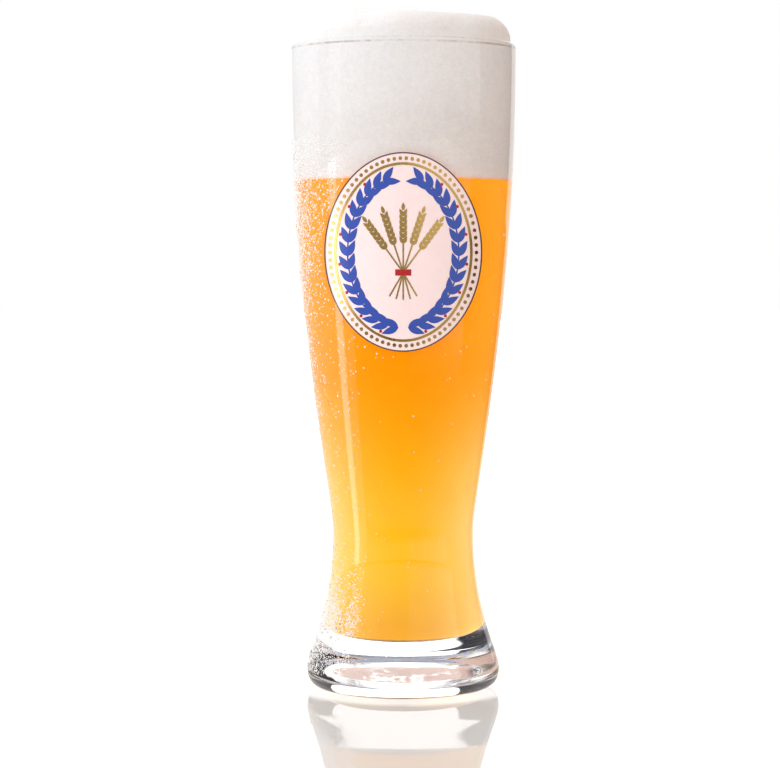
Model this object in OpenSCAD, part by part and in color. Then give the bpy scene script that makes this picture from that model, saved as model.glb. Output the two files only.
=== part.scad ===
// Half-litre wheat beer glass, poured full, with a fired-on oval badge.
// The origin is at the middle of the foot, on the surface it stands on. The badge faces -Y.

/* [Glass] */
// Height of the glass
glass_h = 234.7; // [215:0.1:255]
// Outer diameter at the rim
rim_d = 82.4; // [76:0.2:90]
// Outer diameter at the waist, the narrowest place
waist_d = 51.6; // [47:0.2:57]
// Height of the waist
waist_z = 57.7; // [51:0.1:66]
// Largest diameter of the foot
foot_d = 70.6; // [66:0.2:78]
// Height of the foot's widest place
foot_wide_z = 7; // [5:0.1:9]
// Level run of the foot's lower curve, out from the ring that it stands on
foot_out_run = 6.5; // [3:0.1:8]
// Upright run of the foot's lower curve, below its widest place
foot_up_run = 4.6; // [2:0.1:5]
// Upright run of the bowl's curve above the waist
bowl_low_run = 11.5; // [6:0.5:20]
// Upright run of the bowl's curve below the rim
bowl_top_run = 94.5; // [76:0.5:108]
// Upright run of the foot's curve below the waist
flare_top_run = 30.2; // [24:0.1:36]
// Upright run of the foot's curve above its widest place
flare_low_run = 6.3; // [4:0.1:11]

/* [Glass wall] */
// Thickness of the wall at the rim
rim_wall = 2; // [1.6:0.1:2.8]
// Thickness of the wall at the waist
waist_wall = 3.2; // [2.6:0.1:4.2]
// Height of the cavity's floor, which is the depth of the solid base
floor_z = 17.9; // [14:0.1:22]
// Diameter of the cavity just above its floor
cavity_d = 47.4; // [42:0.2:50]
// Radius between the cavity's floor and its side
cavity_round = 7; // [5:0.5:9]
// Inner diameter of the ring that the glass stands on
ring_in_d = 46; // [38:0.5:52]
// Outer diameter of the ring
ring_out_d = 54; // [50:0.5:62]
// Depth of the hollow under the foot
kick = 2.4; // [1:0.1:4]
// Width of the hollow's curved side
kick_run = 4; // [2:0.5:8]

/* [Drink] */
// Depth of the foam below the rim, down to the beer's surface
foam_depth = 49.4; // [36:0.2:68]
// Rise of the foam above the rim
foam_rise = 10; // [8:0.1:13]
// Radius of the foam's shoulder
foam_shoulder = 7.3; // [5:0.1:7.8]
// Crown of the foam's top, above its shoulder
foam_crown = 0.5; // [0.2:0.1:1.2]

/* [Badge] */
// Width of the badge, seen from the front
badge_w = 55.8; // [50:0.2:62]
// Height of the badge
badge_h = 69.8; // [64:0.2:76]
// Middle of the badge, below the rim
badge_drop = 75.4; // [62:0.2:92]
// Thickness of the white ground
ground_t = 0.12; // [0.08:0.01:0.2]
// Thickness of each coloured print on the ground
ink_t = 0.1; // [0.08:0.01:0.16]
// Width of the dark line round the badge
keyline_w = 0.45; // [0.3:0.05:0.8]
// Radius of a bead in the beaded border
bead_r = 0.66; // [0.4:0.02:0.8]
// Middle of the beads, in from the edge
bead_inset = 2.1; // [1.8:0.1:2.5]
// Outer edge of the gold line, in from the edge
line_inset = 3.5; // [3.4:0.1:4]
// Width of the gold line
line_w = 0.9; // [0.5:0.05:1.2]
// Middle of the wreath, in from the edge
wreath_inset = 8.4; // [8.2:0.1:9.5]
// Length of a wreath leaf
leaf_l = 6.2; // [5:0.1:6.6]
// Width of a wreath leaf
leaf_w = 2.5; // [1.6:0.1:2.6]
// Width of the wreath's stem
stem_w = 0.5; // [0.3:0.05:0.8]
// Radius of a wreath berry
berry_r = 0.55; // [0.4:0.05:0.65]
// Height of the sheaf's tie, from the badge's middle
tie_y = -7; // [-9:0.5:-5]
// Length of a stalk between the tie and its ear
stalk_l = 9; // [7:0.5:10]
// Width of a stalk
stalk_w = 0.55; // [0.4:0.05:0.8]
// Length of the cut ends below the tie
butt_l = 8.5; // [6:0.5:10]
// Length of a wheat kernel
kernel_l = 2.9; // [2.4:0.1:3.2]
// Width of a wheat kernel
kernel_w = 1.3; // [1:0.05:1.5]
// Width of the tie
tie_w = 5.6; // [4.6:0.1:7]
// Height of the tie
tie_h = 2.2; // [1.6:0.1:2.8]

/* [Fill mark] */
// Fill mark, below the rim
mark_drop = 41.3; // [30:0.1:48]
// Length of the fill mark
mark_l = 14; // [8:0.5:20]
// Width of the fill mark's line
mark_w = 0.8; // [0.5:0.1:1.2]

/* [Hidden] */
$fn = 48;

rim_r = rim_d / 2;
waist_r = waist_d / 2;
foot_r = foot_d / 2;
ring_in_r = ring_in_d / 2;
ring_out_r = ring_out_d / 2;
cavity_r = cavity_d / 2;
lip_r = rim_wall / 2;
lip_z = glass_h - lip_r;
rim_in_r = rim_r - rim_wall;
waist_in_r = waist_r - waist_wall;
beer_z = glass_h - foam_depth;
badge_z = glass_h - badge_drop;
mark_z = glass_h - mark_drop;

// How many straight steps stand for one curve of an outline
bowl_steps = 32;
flare_steps = 16;
round_steps = 8;
foot_steps = 12;

oval_steps = 96;
crown_steps = 4;

// Counts and angles of the badge's drawing: the wreath's rows and the gap left open at its top,
// a leaf's angle to its stem, and the sheaf's stalks either side of upright
wreath_rows = 16;
wreath_gap = 16;
leaf_turn = 27;
bead_count = 78;
ear_turns = [-36, -18, 0, 18, 36];
butt_turns = [-30, -15, 0, 15, 30];
kernel_rows = 6;
kernel_turn = 27;
// Step from one pair of kernels to the next, as a share of a kernel's length
kernel_step_share = 0.66;
// Power that sets how near its foot a leaf is widest
leaf_fullness = 0.8;

// Points of a cubic curve with the end points p[0] and p[3] and the handles p[1] and p[2]
function curve(p, steps) = [for (i = [0 : steps]) let (t = i / steps, s = 1 - t)
    s * s * s * p[0] + 3 * s * s * t * p[1] + 3 * s * t * t * p[2] + t * t * t * p[3]];

// Points of an arc about a centre, between two angles
function arc(centre, r, start, end, steps = round_steps) = [for (i = [0 : steps])
    let (a = start + (end - start) * i / steps) centre + r * [cos(a), sin(a)]];

// A list of points without its first one, which the stretch before it already has
function rest(points) = [for (i = [1 : len(points) - 1]) points[i]];

function reversed(points) = [for (i = [len(points) - 1 : -1 : 0]) points[i]];

// Radius of a rising outline at a height, found between its two nearest points
function radius_at(points, z) =
    let (i = max([for (j = [0 : len(points) - 2]) if (points[j].y <= z) j]))
    points[i].x + (points[i + 1].x - points[i].x) * (z - points[i].y) / (points[i + 1].y - points[i].y);

// The glass's outer side, from the ring that it stands on to its lip
outer_side = concat(
    curve([[ring_out_r, 0], [ring_out_r + foot_out_run, 0],
           [foot_r, foot_wide_z - foot_up_run], [foot_r, foot_wide_z]], foot_steps),
    rest(curve([[foot_r, foot_wide_z], [foot_r, foot_wide_z + flare_low_run],
                [waist_r, waist_z - flare_top_run], [waist_r, waist_z]], flare_steps)),
    rest(curve([[waist_r, waist_z], [waist_r, waist_z + bowl_low_run],
                [rim_r, glass_h - bowl_top_run], [rim_r, lip_z]], bowl_steps)));

// The cavity's side, from the middle of its floor to the lip
cavity_side = concat(
    [[0, floor_z]],
    arc([cavity_r - cavity_round, floor_z + cavity_round], cavity_round, -90, 0),
    rest(curve([[cavity_r, floor_z + cavity_round], [cavity_r, floor_z + cavity_round + flare_low_run],
                [waist_in_r, waist_z - flare_low_run], [waist_in_r, waist_z]], flare_steps)),
    rest(curve([[waist_in_r, waist_z], [waist_in_r, waist_z + bowl_low_run],
                [rim_in_r, glass_h - bowl_top_run], [rim_in_r, lip_z]], bowl_steps)));

// The hollow under the foot: flat in the middle, with a side that curves down to the ring
kick_side = concat(
    [[0, kick]],
    curve([[ring_in_r - kick_run, kick], [ring_in_r - kick_run / 2, kick],
           [ring_in_r - kick_run / 2, 0], [ring_in_r, 0]], round_steps));

// The foam's outline above the rim, from its foot out to the middle of its top
foam_side = concat(
    arc([rim_in_r - foam_shoulder, glass_h + foam_rise - foam_crown - foam_shoulder], foam_shoulder, 0, 90),
    [for (i = [crown_steps - 1 : -1 : 0]) let (share = i / crown_steps)
        [share * (rim_in_r - foam_shoulder), glass_h + foam_rise - foam_crown * share * share]]);

function below(points, z) = concat([for (p = points) if (p.y < z) p], [[radius_at(points, z), z]]);
function above(points, z) = concat([[radius_at(points, z), z]], [for (p = points) if (p.y > z) p]);

// Glass: one press-blown piece, with its solid base, waist, bowl and fire-polished lip
module glass() {
    color([0.93, 0.96, 0.96, 0.35])
        rotate_extrude()
            polygon(concat(kick_side, outer_side, rest(arc([rim_r - lip_r, lip_z], lip_r, 0, 180)),
                           rest(reversed(cavity_side))));
}

// Beer: what the cavity holds up to the beer's surface
module beer() {
    color([1, 0.63, 0.06])
        rotate_extrude()
            polygon(concat(below(cavity_side, beer_z), [[0, beer_z]]));
}

// Foam: from the beer's surface up the cavity, and standing proud of the rim as a low dome
module foam_head() {
    color([0.97, 0.95, 0.92])
        rotate_extrude()
            polygon(concat([[0, beer_z]], above(cavity_side, beer_z), foam_side));
}

// An even coat on the outside of the glass, over a stretch of its height
module coat(z, h, from, thick) {
    low = below(outer_side, z + h / 2);
    band = above(low, z - h / 2);
    rotate_extrude()
        polygon(concat([for (p = band) p + [from, 0]], [for (p = reversed(band)) p + [from + thick, 0]]));
}

// What a flat drawing leaves on the glass's front when it is printed straight on
module print_on(from, thick) {
    intersection() {
        coat(badge_z, badge_h, from, thick);
        translate([0, 0, badge_z])
            rotate([90, 0, 0])
                linear_extrude(rim_d)
                    children();
    }
}

// An oval as wide and high as the badge less an inset all round
function oval_point(inset, a) = [(badge_w / 2 - inset) * cos(a), (badge_h / 2 - inset) * sin(a)];

module oval(inset) {
    polygon([for (i = [0 : oval_steps - 1]) oval_point(inset, 360 * i / oval_steps)]);
}

module oval_line(inset, w) {
    difference() {
        oval(inset);
        oval(inset + w);
    }
}

// A pointed leaf or kernel that starts at the origin and points along +X
module leaf(l, w) {
    side = [for (i = [0 : round_steps]) let (t = i / round_steps)
        [l * t, w / 2 * sin(180 * pow(t, leaf_fullness))]];
    polygon(concat(side, [for (i = [round_steps - 1 : -1 : 1]) [side[i].x, -side[i].y]]));
}

// Angle of a row of the wreath on its oval, from the foot at -90 up one side
function row_angle(row) = -90 + (row + 0.5) * (180 - wreath_gap) / wreath_rows;

// Heading of the wreath's oval at an angle
function heading(a) = atan2((badge_h / 2 - wreath_inset) * cos(a), -(badge_w / 2 - wreath_inset) * sin(a));

// One branch of the wreath, up the right-hand side
module branch() {
    for (row = [0 : wreath_rows - 1]) {
        a = row_angle(row);
        translate(oval_point(wreath_inset, a))
            for (side = [-1, 1])
                rotate(heading(a) + side * leaf_turn)
                    leaf(leaf_l, leaf_w);
    }
    intersection() {
        oval_line(wreath_inset - stem_w / 2, stem_w);
        polygon(concat([[0, 0]], [for (row = [0 : wreath_rows - 1]) oval_point(-leaf_l, row_angle(row))]));
    }
}

// Berries between the leaves of one branch, on its outer side
module berries() {
    for (row = [1 : 2 : wreath_rows - 2])
        translate(oval_point(wreath_inset - leaf_w - berry_r, row_angle(row + 0.5)))
            circle(berry_r);
}

// One ear of wheat along +X, its kernels in pairs with one at the tip
module ear() {
    for (row = [0 : kernel_rows - 1])
        translate([row * kernel_l * kernel_step_share, 0])
            for (side = [-1, 1])
                rotate(side * kernel_turn)
                    leaf(kernel_l, kernel_w);
    translate([kernel_rows * kernel_l * kernel_step_share, 0])
        leaf(kernel_l, kernel_w);
}

// The sheaf: ears on stalks that fan out from the tie, and cut ends below it
module sheaf() {
    for (turn = ear_turns)
        translate([0, tie_y])
            rotate(90 - turn) {
                translate([tie_h / 2, -stalk_w / 2])
                    square([stalk_l, stalk_w]);
                translate([tie_h / 2 + stalk_l, 0])
                    ear();
            }
    for (turn = butt_turns)
        translate([0, tie_y])
            rotate(-90 - turn)
                translate([tie_h / 2, -stalk_w / 2])
                    square([butt_l, stalk_w]);
}

module tie() {
    translate([-tie_w / 2, tie_y - tie_h / 2])
        square([tie_w, tie_h]);
}

// White ground: the oval that carries the other prints
module badge_ground() {
    color([0.97, 0.94, 0.93])
        print_on(0, ground_t)
            oval(0);
}

// Dark line round the edge of the ground
module badge_keyline() {
    color([0.35, 0.3, 0.27])
        print_on(ground_t, ink_t)
            oval_line(0, keyline_w);
}

// Gold: beaded border, one line and the sheaf of wheat
module badge_gold() {
    color([0.72, 0.56, 0.24])
        print_on(ground_t, ink_t) {
            for (i = [0 : bead_count - 1])
                translate(oval_point(bead_inset, 360 * i / bead_count))
                    circle(bead_r);
            oval_line(line_inset, line_w);
            difference() {
                sheaf();
                tie();
            }
        }
}

// Blue: the two leafy branches of the wreath
module badge_blue() {
    color([0.2, 0.32, 0.72])
        print_on(ground_t, ink_t) {
            branch();
            mirror([1, 0]) branch();
        }
}

// Red: the sheaf's tie and the wreath's berries
module badge_red() {
    color([0.78, 0.1, 0.12])
        print_on(ground_t, ink_t) {
            tie();
            berries();
            mirror([1, 0]) berries();
        }
}

// Fill mark: a short white line at the back
module fill_mark() {
    color([0.95, 0.95, 0.95])
        intersection() {
            coat(mark_z, mark_w, 0, ink_t);
            translate([-mark_l / 2, 0, mark_z - mark_w])
                cube([mark_l, rim_d, 2 * mark_w]);
        }
}

glass();
beer();
foam_head();
badge_ground();
badge_keyline();
badge_gold();
badge_blue();
badge_red();
fill_mark();
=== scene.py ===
"""A tall wheat beer glass, poured full: clear glass, cloudy beer, foam, a fired-on badge and condensation.

Everything is in metres, in the frame's own axes: +Z is up the glass and the badge faces -Y.
"""

import math

import bmesh
import bpy
import numpy as np
from bpy.props import FloatProperty, FloatVectorProperty, IntProperty, PointerProperty
from bpy.types import Operator, Panel, PropertyGroup
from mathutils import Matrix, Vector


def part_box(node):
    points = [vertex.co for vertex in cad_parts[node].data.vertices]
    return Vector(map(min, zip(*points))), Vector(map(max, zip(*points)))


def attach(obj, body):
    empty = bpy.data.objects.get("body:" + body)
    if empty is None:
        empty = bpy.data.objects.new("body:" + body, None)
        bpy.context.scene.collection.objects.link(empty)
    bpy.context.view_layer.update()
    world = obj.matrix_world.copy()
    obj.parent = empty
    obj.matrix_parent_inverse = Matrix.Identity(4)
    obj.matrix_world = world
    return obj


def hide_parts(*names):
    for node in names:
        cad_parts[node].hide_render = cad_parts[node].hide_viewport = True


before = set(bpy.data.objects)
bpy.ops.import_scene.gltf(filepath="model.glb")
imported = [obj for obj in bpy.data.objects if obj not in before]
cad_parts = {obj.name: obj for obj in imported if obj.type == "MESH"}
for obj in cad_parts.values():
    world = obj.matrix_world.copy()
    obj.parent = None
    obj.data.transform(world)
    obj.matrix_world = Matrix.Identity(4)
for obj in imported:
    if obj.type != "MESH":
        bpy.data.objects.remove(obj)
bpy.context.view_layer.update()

bl_info = {
    "name": "Wheat beer glass",
    "version": (1, 0, 0),
    "blender": (4, 5, 0),
    "location": "3D View > Sidebar > Beer Glass",
    "description": "Builds a full wheat beer glass round its packed solids",
    "category": "Add Mesh",
}

MM = 0.001
BODY = "root"
WHITE = (1, 1, 1)

GLASS_LOW, GLASS_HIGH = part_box("glass")
RIM_R = min(-GLASS_LOW.x, -GLASS_LOW.y, GLASS_HIGH.x, GLASS_HIGH.y)
BEER_LOW, BEER_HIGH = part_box("beer")
FOAM_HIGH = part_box("foam_head")[1]
BADGE_LOW, BADGE_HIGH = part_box("badge_ground")
MARK_LOW, MARK_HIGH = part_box("fill_mark")

# The photograph's frame, and the glass's axis and the eye's level in it, in its pixels
PHOTO_W = 780
PHOTO_H = 768
AXIS_X = 403.2
EYE_LEVEL_Y = 259

# The softbox's edges, as angles from the camera's side towards the right and above the horizon
BOX_LEFT, BOX_RIGHT = math.radians(8), math.radians(84)
BOX_LOW, BOX_HIGH = math.radians(1), math.radians(52)

# The tall lamp at the left: its middle, what it faces, and its width and height
STRIP_PLACE, STRIP_AIM, STRIP_SIZE = (-0.98, -0.32, 0.42), (0, 0, 0.13), (0.28, 1.1)


def length(name, description, default):
    """A length property in metres."""
    return FloatProperty(name=name, description=description, default=default, unit="LENGTH",
                         subtype="DISTANCE", precision=5)


def colour(name, description, default):
    """A colour property, in linear light."""
    return FloatVectorProperty(name=name, description=description, default=default, size=3,
                               subtype="COLOR", min=0, max=1)


def factor(name, description, default):
    """A property from 0 to 1."""
    return FloatProperty(name=name, description=description, default=default, min=0, max=1, subtype="FACTOR")


def strength(name, description, default):
    """A strength of light, 0 or more."""
    return FloatProperty(name=name, description=description, default=default, min=0)


def direction(name, description, degrees):
    """A direction, kept in radians."""
    return FloatProperty(name=name, description=description, default=math.radians(degrees), subtype="ANGLE")


class GlassSizes(PropertyGroup):
    """Sizes of the glass itself."""

    height: length("Height", "From the table to the rim", GLASS_HIGH.z)
    rim_r: length("Rim radius", "Outer radius at the rim", RIM_R)
    rim_wall: length("Rim wall", "Thickness at the rim", GLASS_HIGH.x - FOAM_HIGH.x)
    waist_r: length("Waist radius", "Outer radius at the narrowest place", 25.75 * MM)
    waist_z: length("Waist height", "Height of the narrowest place", 57.7 * MM)
    waist_wall: length("Waist wall", "Thickness at the waist", 3.2 * MM)
    foot_r: length("Foot radius", "Largest radius of the foot", 35.3 * MM)
    foot_wide_z: length("Foot's widest place", "Height of the foot's widest place", 7 * MM)
    foot_out_run: length("Foot's level run", "Level run of the foot's lower curve from its ring", 6.5 * MM)
    foot_up_run: length("Foot's upright run", "Upright run of the curve below the widest place", 4.6 * MM)
    bowl_low_run: length("Bowl's lower run", "Upright run of the bowl's curve above the waist", 11.5 * MM)
    bowl_top_run: length("Bowl's upper run", "Upright run of the bowl's curve below the rim", 94.5 * MM)
    flare_top_run: length("Flare's upper run", "Upright run of the foot's curve below the waist", 30.2 * MM)
    flare_low_run: length("Flare's lower run", "Upright run of the foot's curve above its edge", 6.3 * MM)
    floor_z: length("Base", "Depth of the solid glass under the drink", BEER_LOW.z)
    cavity_r: length("Cavity radius", "Inner radius just above the cavity's floor", 23.7 * MM)
    cavity_round: length("Cavity rounding", "Radius between the cavity's floor and side", 7 * MM)
    ring_in_r: length("Ring radius", "Inner radius of the ring that it stands on", 23 * MM)
    ring_out_r: length("Ring's outer radius", "Outer radius of that ring", 27 * MM)
    kick: length("Kick", "Depth of the hollow under the foot", 2.4 * MM)
    kick_run: length("Kick's side", "Width of the hollow's curved side", 4 * MM)
    tint: colour("Tint", "Colour of the clear glass", (0.99, 0.994, 0.997))
    turns: IntProperty(name="Turns", description="Faces round the glass", default=192, min=24)


class DrinkSizes(PropertyGroup):
    """Level, shape and colours of the beer and its foam."""

    beer_z: length("Beer level", "Height of the beer's surface", BEER_HIGH.z)
    foam_z: length("Foam top", "Height of the foam's top", FOAM_HIGH.z)
    shoulder: length("Shoulder", "Radius of the foam's shoulder", 7.3 * MM)
    crown: length("Crown", "Rise of the foam's top above its shoulder", 0.5 * MM)
    wobble: length("Wobble", "How unevenly the foam sits on the beer", 0.25 * MM)
    contact: length("Contact", "How far the drink reaches into the wall, so that no air gap shows", 0.05 * MM)
    # Painted light: the beer's colours by height stand for how much beer the light passes through
    beer_foot: colour("Beer at its foot", "Colour over the base", (0.90, 0.42, 0.020))
    beer_waist: colour("Beer at the waist", "Colour in the waist", (1.0, 0.54, 0.012))
    beer_middle: colour("Beer in the middle", "Colour in the bowl's deepest part", (1.0, 0.345, 0.001))
    beer_top: colour("Beer at its top", "Colour just under the foam", (1.0, 0.36, 0.003))
    yeast: colour("Yeast", "Colour of the yeast that has settled on the base", (0.22, 0.13, 0.08))
    # Painted light: the paler colour that the beer's sides take for light that gets through them, more at the
    # right
    painted_side_glow: colour("Pale side", "Colour of the beer at its sides, where light gets through", (1.0, 0.70, 0.27))
    painted_glow_left: factor("Pale at the left", "How far the left side takes that colour", 0.52)
    painted_glow_right: factor("Pale at the right", "How far the right side takes that colour", 0.80)
    # Painted reflection: the bluish colour that only glossy reflections see in the lower beer
    mirrored: colour("Mirrored yeast", "Colour of the yeast that the base mirrors", (0.42, 0.48, 0.60))
    soak: factor("Soak", "Share of the colour that comes from light on the beer's own side", 0.62)
    glow: factor("Glow", "Share of the colour that comes from light through the beer", 0.53)
    # Painted light: the pale colour a bubble shows in place of the light it reflects
    bubble: colour("Bubble", "Colour of a bubble's skin", (1.0, 0.62, 0.36))
    foam: colour("Foam", "Colour of the foam above the rim", (0.95, 0.955, 0.97))
    # Painted light and shade: the foam low in the glass is darker and warmer, as if lit by the beer
    foam_low: colour("Foam over the beer", "Colour of the foam low in the glass", (0.91, 0.87, 0.85))
    foam_stain: colour("Foam's stain", "Colour of the foam that is soaked with beer", (0.93, 0.62, 0.26))
    # Painted shade: the brown line under the lip, where the lip shows dark
    lip_shade: colour("Dregs", "Colour of the line of dregs under the lip", (0.52, 0.42, 0.35))


class BadgeSizes(PropertyGroup):
    """Sizes and colours of the fired-on badge and the fill mark."""

    width: length("Width", "Width seen from the front", BADGE_HIGH.x - BADGE_LOW.x)
    height: length("Height", "Height of the badge", BADGE_HIGH.z - BADGE_LOW.z)
    middle_z: length("Middle", "Height of the badge's middle", (BADGE_HIGH.z + BADGE_LOW.z) / 2)
    ground_t: length("Ground", "Thickness of the white ground", 0.12 * MM)
    ink_t: length("Ink", "Thickness of each print on the ground", 0.1 * MM)
    keyline_w: length("Keyline", "Width of the dark edge line", 0.45 * MM)
    bead_r: length("Bead", "Radius of a bead in the border", 0.66 * MM)
    bead_inset: length("Bead inset", "Middle of the beads, in from the edge", 2.1 * MM)
    line_inset: length("Line inset", "Outer edge of the gold line, in from the edge", 3.5 * MM)
    line_w: length("Line", "Width of the gold line", 0.9 * MM)
    wreath_inset: length("Wreath inset", "Middle of the wreath, in from the edge", 8.4 * MM)
    leaf_l: length("Leaf length", "Length of a wreath leaf", 6.2 * MM)
    leaf_w: length("Leaf width", "Width of a wreath leaf", 2.5 * MM)
    stem_w: length("Stem", "Width of the wreath's stem", 0.5 * MM)
    berry_r: length("Berry", "Radius of a wreath berry", 0.55 * MM)
    tie_y: length("Tie height", "Height of the sheaf's tie from the badge's middle", -7 * MM)
    tie_w: length("Tie width", "Width of the tie", 5.6 * MM)
    tie_h: length("Tie depth", "Height of the tie itself", 2.2 * MM)
    stalk_l: length("Stalk", "Length of a stalk between the tie and its ear", 9 * MM)
    stalk_w: length("Stalk width", "Width of a stalk", 0.55 * MM)
    butt_l: length("Cut end", "Length of the cut ends below the tie", 8.5 * MM)
    kernel_l: length("Kernel length", "Length of a wheat kernel", 2.9 * MM)
    kernel_w: length("Kernel width", "Width of a wheat kernel", 1.3 * MM)
    white: colour("White", "Colour of the ground", (1.0, 0.89, 0.90))
    dark: colour("Dark", "Colour of the keyline", (0.12, 0.07, 0.05))
    gold: colour("Gold", "Colour of the bright gold", (0.80, 0.52, 0.16))
    blue: colour("Blue", "Colour of the wreath", (0.045, 0.10, 0.50))
    red: colour("Red", "Colour of the tie and berries", (0.52, 0.02, 0.025))


class DewSizes(PropertyGroup):
    """The film of condensation on the outside, and the bubbles in the beer."""

    mist_count: IntProperty(name="Mist drops", description="How many fine drops in each half", default=5600)
    mist_r: length("Mist radius", "Middle radius of a fine drop", 0.22 * MM)
    drop_count: IntProperty(name="Drops", description="How many larger drops", default=260)
    drop_r: length("Drop radius", "Middle radius of a larger drop", 0.42 * MM)
    top_z: length("Top", "Height above which the glass stays dry", 200 * MM)
    bubble_count: IntProperty(name="Bubbles", description="How many bubbles at the wall", default=24)
    bubble_r: length("Bubble radius", "Middle radius of a bubble", 0.2 * MM)
    seed: IntProperty(name="Seed", description="Seed of the random places", default=7)


class StageSizes(PropertyGroup):
    """Camera, floor and lamps."""

    distance: length("Camera distance", "From the lens to the glass's axis", 889 * MM)
    eye_z: length("Camera height", "Height of the lens", 157.0 * MM)
    lens: length("Lens", "Focal length", 112.1 * MM)
    sensor: length("Sensor width", "Width of the camera's sensor", 36 * MM)
    floor_size: length("Floor", "Width of the floor", 12)
    gap: length("Gap", "Air between the table and the foot", 0.05 * MM)
    table: colour("Table", "Colour of the table top", (0.8, 0.8, 0.8))
    # Painted shadow: near the glass, where no glow lifts it to white, this colour shows as a soft shadow
    table_seen: colour("Table seen", "Colour of the table top under its mirror image", (0.5, 0.5, 0.5))
    # Painted light: the pinkish colour and glow of the table in the hollow under the glass, for light through
    # the beer
    beer_lit: colour("Damp table", "Colour of the table in the damp hollow under the glass", (0.62, 0.41, 0.35))
    beer_lit_glow: factor("Damp glow", "Light that reaches the table in there", 0.20)
    table_glow: factor("Table glow", "Light in the table top under the mirror image", 0.19)
    table_unlit: colour("Unlit table", "Colour of the table where glass and gloss see it dark",
                        (0.025, 0.03, 0.045))
    table_caustic: factor("Caustic", "Light that the base gathers on the table round the foot", 0.34)
    table_bare: factor("Bare table glow", "What makes the table top white farther out", 0.45)
    table_far: factor("Far table glow", "What more it takes towards its far edge", 0.6)
    ambient: strength("Even light", "Level of the even studio light", 0.75)
    lean: strength("Lean", "How much more light comes from the left", 0.78)
    above: strength("Above", "How much more light comes from above", 0.61)
    warm: colour("Warm side", "Colour of the even light from the right", (0.74, 0.40, 0.18))
    overhead: colour("Overhead", "Colour of the even light from above", (0.96, 0.98, 1.0))
    cool: colour("Cool room", "Colour of the dim room, in glass and gloss", (0.55, 0.70, 1.0))
    strip_power: strength("Strip", "Power of the tall lamp at the left", 0.4)
    strip_light: strength("Strip seen", "Light of the same lamp past the table's edge", 3.5)
    box_light: strength("Softbox", "Light of the softbox that glass and gloss mirror", 1.0)
    box_seen: strength("Softbox seen", "Light of the softbox past the table's edge", 0.75)
    backdrop: strength("Backdrop", "Light of the backdrop through clear glass", 1.8)
    horizon: strength("Horizon", "Light of the horizon that polished glass mirrors", 2.8)
    wing: factor("Wing", "Light of the same horizon farther to the left", 0.5)
    room: factor("Room", "Light from the room beyond the backdrop, in glass and gloss", 0.04)
    ceiling: factor("Ceiling", "Light from the front and above, in glass and gloss", 0.6)
    left_edge: direction("Left edge", "Direction of the backdrop's left edge", -25)
    right_edge: direction("Right edge", "Direction of the backdrop's right edge", 36)


def stack(*coordinates):
    """Points from arrays of their coordinates."""
    return np.stack(coordinates, axis=-1)


def bezier(p0, p1, p2, p3, count):
    """count points of (1-t)^3 p0 + 3 (1-t)^2 t p1 + 3 (1-t) t^2 p2 + t^3 p3, at even steps of t."""
    t = np.linspace(0, 1, count)[:, None]
    p0, p1, p2, p3 = (np.array(p, float) for p in (p0, p1, p2, p3))
    s = 1 - t
    return s ** 3 * p0 + 3 * s * s * t * p1 + 3 * s * t * t * p2 + t ** 3 * p3


def arc(centre, radius, start, end, count):
    """count points centre + radius (cos a, sin a), with a going evenly from start to end in degrees."""
    a = np.radians(np.linspace(start, end, count))
    return np.array(centre) + radius * stack(np.cos(a), np.sin(a))


def joined(*stretches):
    """One outline of stretches that each start where the one before ends."""
    return np.vstack([stretches[0]] + [stretch[1:] for stretch in stretches[1:]])


def outer_side(s):
    """The glass's outer side as (r, z): one Bezier curve from the ring out to the foot's widest place, then
    two that meet upright at the waist."""
    lip_z = s.height - s.rim_wall / 2
    return joined(
        bezier((s.ring_out_r, 0), (s.ring_out_r + s.foot_out_run, 0),
               (s.foot_r, s.foot_wide_z - s.foot_up_run), (s.foot_r, s.foot_wide_z), 33),
        bezier((s.foot_r, s.foot_wide_z), (s.foot_r, s.foot_wide_z + s.flare_low_run),
               (s.waist_r, s.waist_z - s.flare_top_run), (s.waist_r, s.waist_z), 49),
        bezier((s.waist_r, s.waist_z), (s.waist_r, s.waist_z + s.bowl_low_run),
               (s.rim_r, s.height - s.bowl_top_run), (s.rim_r, lip_z), 97))


def cavity_side(s):
    """The cavity's side as (r, z), from the middle of its floor to the lip."""
    rim_in_r = s.rim_r - s.rim_wall
    waist_in_r = s.waist_r - s.waist_wall
    side_z = s.floor_z + s.cavity_round
    return joined(
        np.array([(0, s.floor_z), (s.cavity_r - s.cavity_round, s.floor_z)]),
        arc((s.cavity_r - s.cavity_round, side_z), s.cavity_round, -90, 0, 17),
        bezier((s.cavity_r, side_z), (s.cavity_r, side_z + s.flare_low_run),
               (waist_in_r, s.waist_z - s.flare_low_run), (waist_in_r, s.waist_z), 33),
        bezier((waist_in_r, s.waist_z), (waist_in_r, s.waist_z + s.bowl_low_run),
               (rim_in_r, s.height - s.bowl_top_run), (rim_in_r, s.height - s.rim_wall / 2), 97))


def cut(outline, z):
    """The parts of a rising outline below and above z, which share a point at z."""
    r, heights = outline.T
    point = [np.interp(z, heights, r), z]
    return np.vstack([outline[heights < z], point]), np.vstack([point, outline[heights > z]])


def resampled(outline, step):
    """An outline's points at about even steps along its length."""
    along = np.concatenate([[0], np.cumsum(np.linalg.norm(np.diff(outline, axis=0), axis=1))])
    places = np.linspace(0, along[-1], max(2, round(along[-1] / step)) + 1)
    return stack(*(np.interp(places, along, line) for line in outline.T))


def lathe(outline, turns):
    """A surface of revolution as a grid: (r cos a, r sin a, z) for each outline point (r, z) and each of
    turns even angles a."""
    a = np.linspace(0, 2 * np.pi, turns, endpoint=False)
    r, z = outline[:, :1], outline[:, 1:]
    return stack(r * np.cos(a), r * np.sin(a), z + 0 * a)


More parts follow.
